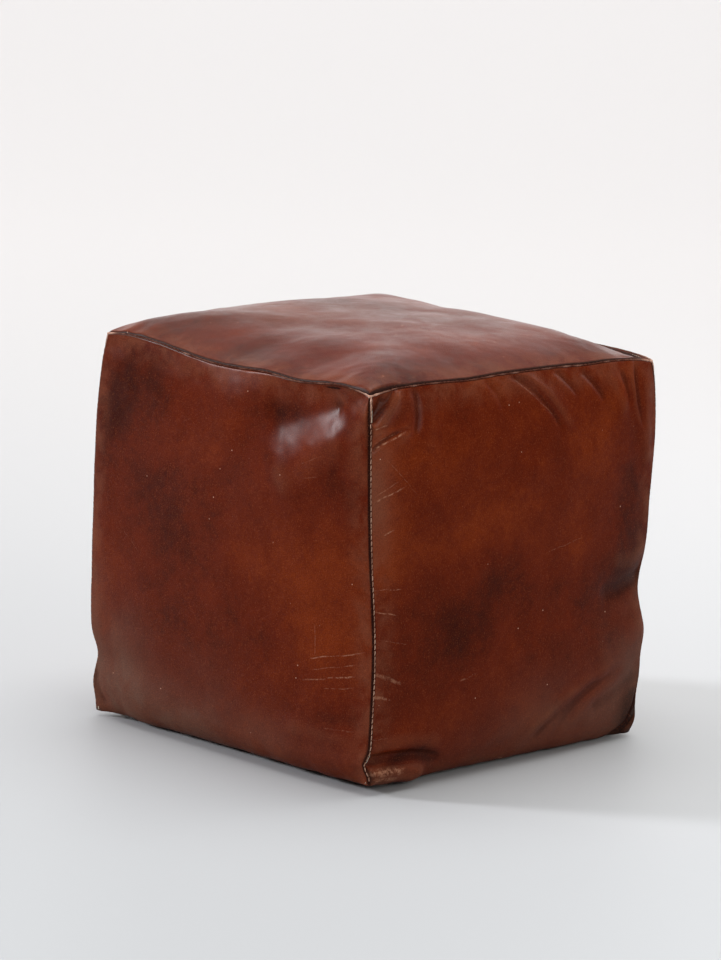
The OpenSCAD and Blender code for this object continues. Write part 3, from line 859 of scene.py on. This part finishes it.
# Dye clouds, and painted shade and light, on a face: (across, up, half width, half height, amount),
# with the same places as in FOLDS. Below zero is darker.
DYE_AND_PAINTED_LIGHT_PATCHES = {
    "front": [
        (-165, 330, 50, 60, -0.45), (-80, 250, 70, 70, -0.3), (20, 330, 70, 35, 0.25),
        (-100, 315, 45, 30, 0.3), (75, 372, 40, 22, -0.55), (130, 290, 70, 35, -0.25),
        (60, 200, 80, 50, 0.25), (140, 150, 60, 60, 0.3), (-10, 120, 60, 40, -0.3),
        (-120, 120, 60, 60, 0.1), (165, 235, 30, 50, 0.2), (-70, 200, 50, 45, -0.4),
        (-105, 120, 40, 30, -0.35),
    ],
    "right": [
        (-120, 310, 50, 70, 0.4), (-170, 240, 40, 60, 0.35), (-30, 340, 60, 45, -0.1),
        (60, 300, 70, 60, 0.25), (-50, 225, 60, 45, 0.3), (30, 235, 50, 40, 0.1),
        (-85, 170, 60, 34, -0.6), (-10, 190, 70, 45, -0.45), (165, 260, 40, 90, -0.45),
        (165, 172, 45, 22, -0.6), (60, 120, 60, 40, 0.05), (-190, 20, 40, 16, -0.4),
        # (198, 16) is painted shade on the ear at the far foot, (-202, 300) a painted highlight beside
        # the front right seam, (-150, 32) painted shade in the crease above the ear at the front foot,
        # and (-196, 388) painted shade in the pleat's pocket at the front top corner
        (198, 16, 34, 42, -3.8), (-202, 300, 26, 80, 1.1), (-150, 32, 50, 6, -0.8),
        (-196, 388, 16, 14, -0.9),
    ],
    "top": [
        (-150, -150, 50, 40, -0.35), (40, -150, 60, 40, -0.3), (130, -20, 60, 60, 0.2),
        (-40, -60, 70, 50, 0.2), (20, 80, 80, 50, -0.15), (185, -60, 30, 110, -0.6),
        (60, -190, 110, 22, -0.45),
    ],
    "back": [
        (-100, 280, 70, 60, -0.4), (80, 220, 60, 60, 0.35), (20, 100, 80, 40, -0.35),
    ],
    "left": [
        (100, 300, 70, 50, 0.35), (-70, 220, 70, 60, -0.4), (50, 100, 80, 40, 0.25),
    ],
}

# Places given a greyer, duller tone, in the same terms. Most are painted sheen, where the sides would
# reflect the pale floor and the light: low on the sides, along the front's left outline and on an ear
DULLING_AND_SHEEN_PATCHES = {
    "front": [
        (-200, 60, 70, 80, 0.74), (-100, 20, 130, 65, 0.88), (80, 30, 120, 30, 0.25),
        # painted sheen along the front's left outline
        (-216, 270, 13, 130, 0.75),
    ],
    "right": [
        # (-204, 305) is a painted highlight beside the front right seam and (-172, 14) a painted
        # highlight on the ear at the front foot; the others paint sheen low on the side
        (-204, 305, 22, 70, 0.45), (190, 80, 60, 90, 0.6), (80, 40, 120, 50, 0.55),
        (-80, 20, 80, 30, 0.25), (-172, 14, 30, 9, 0.6),
    ],
    "back": [
        (-150, 50, 110, 70, 0.55), (100, 30, 120, 40, 0.4),
    ],
    "left": [
        (150, 60, 100, 80, 0.6), (-100, 30, 120, 45, 0.45),
    ],
    "top": [
        (0, 50, 130, 110, 0.34), (-110, -80, 100, 90, 0.4),
    ],
}


def patches(table, across, up):
    """The sum of the soft patches of a table at each point of a face."""
    total = 0 * across
    for *sizes, amount in table:
        x, y, wide, high = (size / 1000 for size in sizes)
        total += amount * np.exp(-((across - x) / wide) ** 2 - ((up - y) / high) ** 2)
    return total


def clouds(seed, *parts):
    """The sum of clouds over a panel, each given as (amount, cells)."""
    return sum(amount * cloud(seed + k, cells, places, places)
               for k, (amount, cells) in enumerate(parts))


def dyed(face, across, up, seed):
    """How much lighter or darker than the rest each point of a face is coloured, with random clouds
    and the painted shade and light of its table.
    """
    total = clouds(seed, (0.10, 5), (0.10, 11))
    shift_x = clouds(seed + 2, (0.012, 7), (0.005, 18))
    shift_y = clouds(seed + 4, (0.012, 7), (0.005, 18))
    return total + patches(DYE_AND_PAINTED_LIGHT_PATCHES[face], across + shift_x, up + shift_y)


def puckers(u, v, seed):
    """Small gathers that run away from the seams, strongest at the seam and near the corners."""
    total = np.zeros((len(u), len(v)))
    rng = np.random.default_rng(seed)
    sides = [(u, v, -1), (u, v, 1), (v, u, -1), (v, u, 1)]
    for k, (along, off, end) in enumerate(sides):
        distance = (1 - off * end) * HALF
        weights = rng.standard_normal(GATHERS)
        weights = weights * (0.4 + 0.8 * np.abs(np.linspace(-1, 1, GATHERS)) ** 3)
        wave = cubic_weights(along, GATHERS) @ weights
        slow = cubic_weights(along, 9) @ rng.uniform(0.012, 0.032, 9)
        fade = np.exp(-(distance[None, :] / slow[:, None]) ** 1.3)
        fade = fade * (1 - np.exp(-distance[None, :] / 0.003))
        patch = GATHER_HEIGHT * wave[:, None] * fade
        total += patch if k < 2 else patch.T
    return total


def leather_grids(face, seed):
    """The outer and inner points of a panel, and the marks that its material reads."""
    u = v = places
    inset = 1 - SEAM_GAP / HALF
    base = resample(skin[face], u * inset, v * inset)
    n = normals(base)
    fixed = np.array(FACES[face][0], float)
    if face == "top":
        across, up = base[..., 0], base[..., 1]
    else:
        across = base @ np.array(FACES[face][1], float)
        up = base[..., 2]
    height = folded(face, across, up)
    edge = np.minimum((1 - np.abs(u))[:, None] * HALF, (1 - np.abs(v))[None, :] * HALF)
    height = height * smooth(edge / FLAT_EDGE)
    broad = 0.0012 if face == "top" else 0.0006
    wander = clouds(seed, (broad, 6), (0.0003, 17), (0.00008, 60))
    height = height + wander * smooth(edge / 0.02) + puckers(u, v, seed + 3)
    within = np.clip(edge, 0, ROLL_RADIUS)
    roll = ROLL_RADIUS - np.sqrt(np.maximum(ROLL_RADIUS ** 2 - (ROLL_RADIUS - within) ** 2, 0))
    outer = base + n * (height - roll * ROLL_SHARE)[..., None]
    # the inside turns down at the seam too, but less
    turn = ROLL_RADIUS * ROLL_SHARE * (1 - smooth(edge / FLAT_EDGE)) * 0.6
    inner = base - n * (LEATHER + turn)[..., None]
    inner = inner + n * np.minimum(height * smooth(edge / 0.01), 0)[..., None]
    # a greyer tone, mostly painted sheen
    dulling_and_sheen = patches(DULLING_AND_SHEEN_PATCHES[face], across, up)
    # sharp folds stand out from the panel's smoothed height, in millimetres; the material paints shade
    # in their hollows and a highlight on their ridges
    sharp = 1000 * (height - softened(softened(height, 7), 7))
    if face == "right":
        # the painted shade of the dark ear at its far foot stays clear of the painted sheen
        dulling_and_sheen = dulling_and_sheen * (1 - np.exp(-((across - 0.200) / 0.030) ** 4 - ((up - 0.020) / 0.036) ** 4))
    dye_and_painted_light = dyed(face, across, up, seed + 40)
    return outer, inner, {"edge": edge, "fold": sharp, "dye_and_painted_light": dye_and_painted_light, "dulling_and_sheen": dulling_and_sheen}


# The cut size of each panel, with 10 mm for the seam on every side
ALLOWANCE = 2 * 0.010
WIDTH = 2 * HALF + ALLOWANCE
CUT = {face: (WIDTH, Z_HIGH - Z_LOW + BASE_TUCK + ALLOWANCE) for face in FACES}
CUT["top"] = (WIDTH, WIDTH)
CUT["base"] = (WIDTH - 2 * BASE_TUCK, HALF - BASE_TUCK + ALLOWANCE)

SIDES = ["front", "right", "back", "left"]
outers, inners = {}, {}
for number, face in enumerate(["top"] + SIDES):
    outers[face], inners[face], marks = leather_grids(face, 100 + 10 * number)
    panel = shell(face + "_leather", outers[face], inners[face], marks)
    dress(panel, leather(face, number), "leather", face + "_panel")


# ---- base

BASE_CELLS, BASE_LINING_CELLS = 150, 60
LINING_GAP = (0.170, 0.017)     # half length and half width of the lining's gap over the zip
JOIN = 0.0006                   # half the gap between the halves where they are sewn together


def base_half(side, depth, cells, opening, opening_side):
    """Grid of one half of the base, between its rim and the zip, and the distance of each point to
    the nearest base seam. side is -1 in front and 1 behind."""
    u = crowded(cells)
    w = np.linspace(0, 1, cells // 2 + 1) ** 1.15
    rim = seam(0, side, -1, u)
    left, right = (seam(1, s, -1, side * (1 - w)) for s in (-1, 1))
    mid = left[-1] + (right[-1] - left[-1]) * ((u + 1) / 2)[:, None]
    open_share = smooth((opening + 0.003 - np.abs(mid[:, 0])) / 0.006)
    mid[:, 1] = side * (JOIN + (opening_side - JOIN) * open_share)
    grid = between(rim, mid, left, right, (u + 1) / 2, w)
    x, y, drop = grid[..., 0], grid[..., 1], grid[..., 2]
    edge = np.broadcast_to((1 - np.abs(u))[:, None] * HALF, x.shape)
    near = np.minimum(edge, np.abs(rim[:, 1])[:, None] * w[None])
    z = base_floor(near, edge, y, drop)
    gap = np.abs(mid[:, 1])[:, None]
    puff = sum(a * np.sin(x * f + p) * np.sin(y * g + q) for a, f, g, p, q in
               ((0.0005, 61, 47, 1, 2), (0.0004, 103, 131, 4, 0), (0.0003, 210, 183, 2, 5)))
    lift = np.clip(puff, 0, 1) * smooth((np.abs(y) - gap) / 0.01) * smooth(near / 0.02)
    roll = 0.0010 * (1 - smooth(near / 0.003))
    shrink = 1 - SEAM_GAP / HALF
    grid = np.stack([x * shrink, y + side * -0.0002 * (1 - w), z + lift + roll + depth], axis=-1)
    return grid[::side, ::-1], near[::side, ::-1]


for side, name in ((-1, "front"), (1, "back")):
    outer, edge = base_half(side, 0.0, BASE_CELLS, OPENING, OPENING_SIDE)
    inner, _ = base_half(side, LEATHER, BASE_CELLS, OPENING, OPENING_SIDE)
    marks = {"edge": edge, "fold": 0 * edge, "dye_and_painted_light": 0 * edge - 0.2, "dulling_and_sheen": 0 * edge + 0.3}
    half = shell("base_leather_" + name, outer, inner, marks)
    dress(half, leather("base_" + name, 6 + side), "leather", "base_panel_" + name)
    outer, _ = base_half(side, LEATHER + CANVAS, BASE_LINING_CELLS, *LINING_GAP)
    inner, _ = base_half(side, LEATHER + 2 * CANVAS, BASE_LINING_CELLS, *LINING_GAP)
    cloth = shell("base_lining_" + name + "_cloth", outer, inner)
    dress(cloth, canvas, "lining", "base_lining_" + name)

# ---- lining and filling

WAD_DEPTH = 0.0105        # how far the filling lies under the start shape of the cover

for face in ["top"] + SIDES:
    coarse = inners[face][::4, ::4]
    down = normals(coarse)
    cloth = shell(face + "_lining_cloth", coarse - CANVAS * down, coarse - 2 * CANVAS * down)
    dress(cloth, canvas, "lining", face + "_lining")


def add_filling():
    """Packed cotton waste: the inside of the cover, a little lumpy."""
    fine, t = np.linspace(-1, 1, 65), np.linspace(-1, 1, 45)
    points, quads, _ = welded([resample(bulged(face, fine, fine), t, t) for face in FACES], 2e4)
    wad = make_mesh("filling_wad", points, quads)
    count = len(points)
    co, no = np.zeros(count * 3), np.zeros(count * 3)
    wad.data.vertices.foreach_get("co", co)
    wad.data.vertices.foreach_get("normal", no)
    co, no = co.reshape(-1, 3), no.reshape(-1, 3)
    rng = np.random.default_rng(5)
    lumps = np.zeros(count)
    for size, amount in ((0.05, 0.0016), (0.022, 0.0010)):
        waves = rng.standard_normal((14, 3)) / size
        shifts = rng.uniform(0, 6.28, 14)
        lumps += amount * np.sin(co @ waves.T + shifts).sum(1) / 3.7
    co = co - no * (WAD_DEPTH + np.clip(lumps, -0.002, 0.004))[:, None]
    wad.data.vertices.foreach_set("co", co.astype(np.float32).ravel())
    wad.data.update()
    dress(wad, wadding, "filling", "filling")


add_filling()

# ---- seams

STITCH_PITCH = 0.0058
STITCH_RADIUS = 0.00046
STITCH_LENGTH = 0.78      # as a share of the pitch
STITCH_LEAN = 0.10        # how much a stitch slants, as a share of its length
BARE_REACH = 0.016        # how far from a top corner the cut edges are wider and barer


def tube(path, radius, sides, flat, up):
    """Points and faces of a tube along a path; flat squeezes it along the up direction."""
    along = np.gradient(path, axis=0)
    along /= np.linalg.norm(along, axis=1, keepdims=True)
    across = np.cross(along, np.broadcast_to(up, path.shape))
    across /= np.maximum(np.linalg.norm(across, axis=1, keepdims=True), 1e-9)
    lift = np.cross(across, along)
    radius = np.broadcast_to(radius, (len(path),))
    angle = np.linspace(0, 2 * math.pi, sides, endpoint=False)
    ring = (across[:, None] * np.cos(angle)[None, :, None]
            + flat * lift[:, None] * np.sin(angle)[None, :, None])
    points = path[:, None] + ring * radius[:, None, None]
    i, j = np.meshgrid(np.arange(len(path) - 1), np.arange(sides), indexing="ij")
    k = (j + 1) % sides
    quads = np.stack([i * sides + j, i * sides + k, (i + 1) * sides + k, (i + 1) * sides + j], -1)
    points = points.reshape(-1, 3)
    first, last = len(points), len(points) + 1
    points = np.concatenate([points, path[:1], path[-1:]])
    ring = np.arange(sides)
    caps = np.concatenate([
        np.stack([np.full(sides, first), (ring + 1) % sides, ring], -1),
        np.stack([np.full(sides, last), (len(path) - 1) * sides + ring,
                  (len(path) - 1) * sides + (ring + 1) % sides], -1)])
    return points, quads.reshape(-1, 4), caps


class Bundle:
    """Collects tubes into one mesh."""

    def __init__(self):
        self.points, self.quads, self.tris, self.bare, self.count = [], [], [], [], 0

    def add(self, points, quads, tris, bare=None):
        self.bare.append(np.zeros(len(points)) if bare is None else bare)
        self.points.append(points)
        self.quads.append(quads + self.count)
        self.tris.append(tris + self.count)
        self.count += len(points)

    def build(self, name, material, slot, *replaced):
        thing = make_mesh(name, np.concatenate(self.points), np.concatenate(self.quads),
                          np.concatenate(self.tris))
        layer = thing.data.attributes.new("bare", "FLOAT", "POINT")
        layer.data.foreach_set("value", np.concatenate(self.bare).astype(np.float32))
        dress(thing, material, slot, *replaced)


def beside_seam(face, side, distance):
    """Points and normals on a leather panel, at a distance from one of its edges: u-, v- or v+."""
    grid = outers[face]
    n = normals(grid)
    if side == "u-":
        grid, n = np.swapaxes(grid, 0, 1), np.swapaxes(n, 0, 1)
    if side == "v+":
        grid, n = grid[:, ::-1], n[:, ::-1]
    depth = (1 + places) * HALF
    row = int(np.clip(np.searchsorted(depth, distance), 1, len(depth) - 1))
    f = (distance - depth[row - 1]) / (depth[row] - depth[row - 1])
    points = grid[:, row - 1] * (1 - f) + grid[:, row] * f
    smoother = n[:, row + 2:row + 6].mean(axis=1)
    return points, smoother / np.linalg.norm(smoother, axis=1, keepdims=True)


def walk(points, vectors, pitch, start):
    """Places at an even pitch along a path, with the direction of the path and the vector there."""
    run = run_along(points)
    count = int((run[-1] - 2 * start) / pitch)
    at = start + (run[-1] - 2 * start - count * pitch) / 2 + pitch * (np.arange(count) + 0.5)

    def pick(values, s):
        return np.stack([np.interp(s, run, values[:, k]) for k in range(3)], -1)

    ahead = pick(points, at + 0.5e-3) - pick(points, at - 0.5e-3)
    ahead /= np.linalg.norm(ahead, axis=1, keepdims=True)
    return pick(points, at), ahead, pick(vectors, at)


def stitches(bundle, points, up, seed, pitch=STITCH_PITCH, radius=STITCH_RADIUS, start=0.004):
    """Adds a row of stitches: short arched strands, a little uneven, lying on the leather."""
    rng = np.random.default_rng(seed)
    s = np.linspace(-1, 1, 7)
    for place, direction, high in zip(*walk(points, up, pitch, start)):
        across = np.cross(direction, high)
        half = STITCH_LENGTH / 2 * pitch * rng.uniform(0.93, 1.05)
        lean = STITCH_LEAN + rng.uniform(-0.05, 0.05)
        path = (place + np.outer(s * half, direction + lean * across)
                + np.outer(radius * (0.20 - 1.15 * s ** 4), high))
        bundle.add(*tube(path, radius * (1 - 0.35 * s ** 6) * rng.uniform(0.92, 1.06), 7, 0.9, high))


def raw_edge(bundle, points, up, seed, radius=0.0006, height=0.0):
    """Adds the cut edge of the leather that shows along a seam: uneven, and wider and barer where
    it ends at a corner of the top."""
    along = np.linspace(-1, 1, len(points))
    wobble = cubic_weights(along, 70) @ np.random.default_rng(seed).standard_normal(70)
    run = run_along(points)
    high = smooth((points[:, 2] - Z_HIGH + 0.03) / 0.02)
    near = np.exp(-(run / BARE_REACH) ** 2) + np.exp(-((run[-1] - run) / BARE_REACH) ** 2)
    near = high * near
    radius = radius * np.clip(1 + 0.14 * wobble, 0.7, 1.4) * (1 + 0.9 * near)
    mesh = tube(points + up * height, radius, 8, 0.8, up)
    bare = np.clip(0.02 + 0.10 * wobble + 0.95 * near, 0, 1)
    bundle.add(*mesh, np.concatenate([np.repeat(bare, 8), [bare[0], bare[-1]]]))


def sew(name, side, seed, edge_at, stitch_at, radius, material):
    """The cut edges and the stitches of the top or base seam. edge_at and stitch_at are their
    distances from the seam and their heights over the leather."""
    edges, sewn = Bundle(), Bundle()
    for number, face in enumerate(SIDES):
        points, up = beside_seam(face, side, edge_at[0])
        raw_edge(edges, points, up, seed + number, height=edge_at[1])
        points, up = beside_seam(face, side, stitch_at[0])
        stitches(sewn, points + up * stitch_at[1], up, seed + 10 + number, radius=radius)
    edges.build(name + "_raw_edge", raw_leather, "leather")
    sewn.build(name + "_stitches", material, "thread", name + "_thread")


sew("top_seam", "v+", 200, (0.0008, 0.0005), (0.0002, 0.0), 0.0004, dark_thread)
sew("base_seam", "v-", 220, (0.0009, 0.0), (0.0004, 0.0003), STITCH_RADIUS, thread)

UPRIGHTS = {"right": "front_right", "back": "back_right", "left": "back_left", "front": "front_left"}
for number, (face, place) in enumerate(UPRIGHTS.items()):
    points, up = beside_seam(face, "u-", 0.0009)
    edge_line, stitch_line = Bundle(), Bundle()
    raw_edge(edge_line, points[2:-2], up[2:-2], 240 + number, radius=0.00055, height=0.0001)
    # only the front right seam faces the camera: the stitches of the others would roughen the outline
    proud = 0.0008 if place == "front_right" else 0.0002
    stitches(stitch_line, points + up * proud, up, 250 + number)
    edge_line.build("corner_raw_edge_" + place, raw_leather, "leather")
    stitch_line.build("corner_stitches_" + place, thread, "thread", "corner_thread_" + place)

# ---- zip

ZIP_PITCH = 0.0040        # of the stitches that hold the tapes
ZIP_STITCH_SIDE = OPENING_SIDE + 0.004
JOIN_STITCHES = 9         # at each end of the zip
JOIN_PITCH = 0.0042

for side, name in ((-1, "front"), (1, "back")):
    low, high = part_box("zip_tape_" + name)
    inner_y = side * min(abs(low.y), abs(high.y))
    outer_y = side * max(abs(low.y), abs(high.y))
    xx, ww = np.meshgrid(np.linspace(low.x, high.x, 240), np.linspace(0, 1, 15), indexing="ij")
    middle = (low.z + high.z) / 2
    rng = np.random.default_rng(31 + side)
    ripple = (cubic_weights(np.linspace(-1, 1, 240), 22) @ rng.standard_normal(22))[:, None]
    thick = (high.z - low.z) * (0.36 + 0.12 * (ww < 0.08) + 0.05 * np.sin(ww * 14 * math.pi))
    bend = 0.00008 * ripple * smooth(ww * 2 - 0.4)
    y = inner_y + (outer_y - inner_y) * ww
    upper = np.stack([xx, y, middle + bend + thick], -1)
    lower = np.stack([xx, y, middle + bend - thick], -1)
    pair = (upper, lower) if side > 0 else (lower, upper)
    tape = shell("zip_tape_" + name + "_woven", *pair)
    dress(tape, woven_tape, "zip_tape", "zip_tape_" + name)

    x = np.linspace(-OPENING - 0.003, OPENING + 0.003, 60)
    line = np.stack([x, np.full(60, side * ZIP_STITCH_SIDE), np.full(60, SHELF)], -1)
    down = np.tile([0.0, 0, -1], (60, 1))
    sewn = Bundle()
    stitches(sewn, line, down, 300 + side, pitch=ZIP_PITCH, radius=0.0004, start=0.0)
    sewn.build("zip_stitches_" + name, thread, "thread", "zip_thread_" + name)

join = Bundle()
for side in (-1, 1):
    for step in range(JOIN_STITCHES):
        x = side * (OPENING + 0.005 + JOIN_PITCH * step)
        s = np.linspace(-1, 1, 7)
        lean = 0.0006 * side
        path = np.stack([x + lean * s, 0.0032 * s, SHELF - 0.0001 - 0.0004 * (1 - s ** 4)], -1)
        join.add(*tube(path, 0.00045, 7, 1.0, np.array([0.0, 0, -1])))
join.build("base_join_stitches", thread, "thread", "base_join_thread")

for name in ("zip_teeth_front", "zip_teeth_back", "zip_top_stops", "zip_bottom_stop",
             "zip_slider", "zip_pull"):
    paint(NODES[name].data, brass)

# ---- floor and light

# Near lamps: name, place, width, height, power and colour. They face the middle of the pouf.
LAMPS = [
    ("overhead", (0.0, 0.0, 3.0), 2.0, 2.0, 24, (1.0, 0.99, 0.97)),
    ("fill", (2.4, -0.2, 1.1), 1.6, 1.0, 19, (1.0, 0.97, 0.93)),
    ("behind", (0.5, 2.2, 1.2), 1.4, 1.0, 12, (1.0, 0.98, 0.96)),
]
# Far lights: name, the way towards it, its width in degrees, its strength and its colour
SUNS = [
    ("skylight", (-0.07, 0.156, 0.985), 60, 2.1, (1.0, 1.0, 1.0)),
    ("window", (-1.82, -1.48, 0.88), 10, 2.7, (0.97, 0.96, 1.0)),
]
MIDDLE = np.array([0, 0, 0.22])
FLOOR_SIZE = 9
FLOOR_HEIGHT = -0.0003    # a little low, so that the underside doesn't lie in the floor
# the floor's colour runs from darker near the camera to paler far behind: a painted fall-off of the
# light
FLOOR_NEAR_SHADED, FLOOR_FAR_LIT = (0.425, 0.440, 0.452), (0.662, 0.647, 0.640)


def add_light(name, kind, strength, color, aim):
    """A light that shines along aim."""
    lamp = bpy.data.lights.new(name, kind)
    lamp.energy = strength
    lamp.color = color
    light = bpy.data.objects.new(name, lamp)
    bpy.context.scene.collection.objects.link(light)
    tilt = math.acos(-aim[2] / np.linalg.norm(aim))
    light.rotation_euler = (tilt, 0, math.atan2(aim[1], aim[0]) - math.pi / 2)
    return light


def add_stage():
    corners = [(-1, -1), (1, -1), (1, 1), (-1, 1)]
    floor = make_mesh("floor", [(FLOOR_SIZE * x, FLOOR_SIZE * y, FLOOR_HEIGHT) for x, y in corners],
                      [(0, 1, 2, 3)])
    n = Nodes("pale_floor")
    away = n.vector("DOT_PRODUCT", n.place, (-0.7, 0.7, 0.0), output="Value")
    # painted fall-off of the light: darker towards the camera, paler far behind the pouf
    color = n.mix(n.fit(away, -0.8, 3.8), FLOOR_NEAR_SHADED, FLOOR_FAR_LIT)
    normal = n.bump(n.noise(30.0, 3.0), 0.05, 0.001)
    paint(floor.data, n.finish(color, 0.6, normal, Specular_IOR_Level=0.3))

    # the sky is bright behind the pouf, low over the floor
    world = bpy.data.worlds.new("world")
    world.use_nodes = True
    tree = world.node_tree
    where = tree.nodes.new("ShaderNodeTexCoord")
    toward = tree.nodes.new("ShaderNodeVectorMath")
    toward.operation = "DOT_PRODUCT"
    tree.links.new(where.outputs["Generated"], toward.inputs[0])
    toward.inputs[1].default_value = (-0.70, 0.70, -0.10)
    ramp = tree.nodes.new("ShaderNodeMapRange")
    tree.links.new(toward.outputs["Value"], ramp.inputs["Value"])
    for key, amount in zip(RANGE, (0.81, 0.98, 0.28, 2.85)):
        ramp.inputs[key].default_value = amount
    sky = tree.nodes["Background"]
    sky.inputs["Color"].default_value = (1.0, 0.98, 0.975, 1)
    tree.links.new(ramp.outputs["Result"], sky.inputs["Strength"])
    bpy.context.scene.world = world

    for name, place, width, height, power, color in LAMPS:
        light = add_light(name, "AREA", power, color, MIDDLE - place)
        light.location = place
        light.data.shape = "ELLIPSE"
        light.data.size, light.data.size_y = width, height
    for name, toward_light, angle, strength, color in SUNS:
        light = add_light(name, "SUN", strength, color, -np.array(toward_light))
        light.data.angle = math.radians(angle)
    bpy.context.scene.view_settings.view_transform = "Standard"


add_stage()
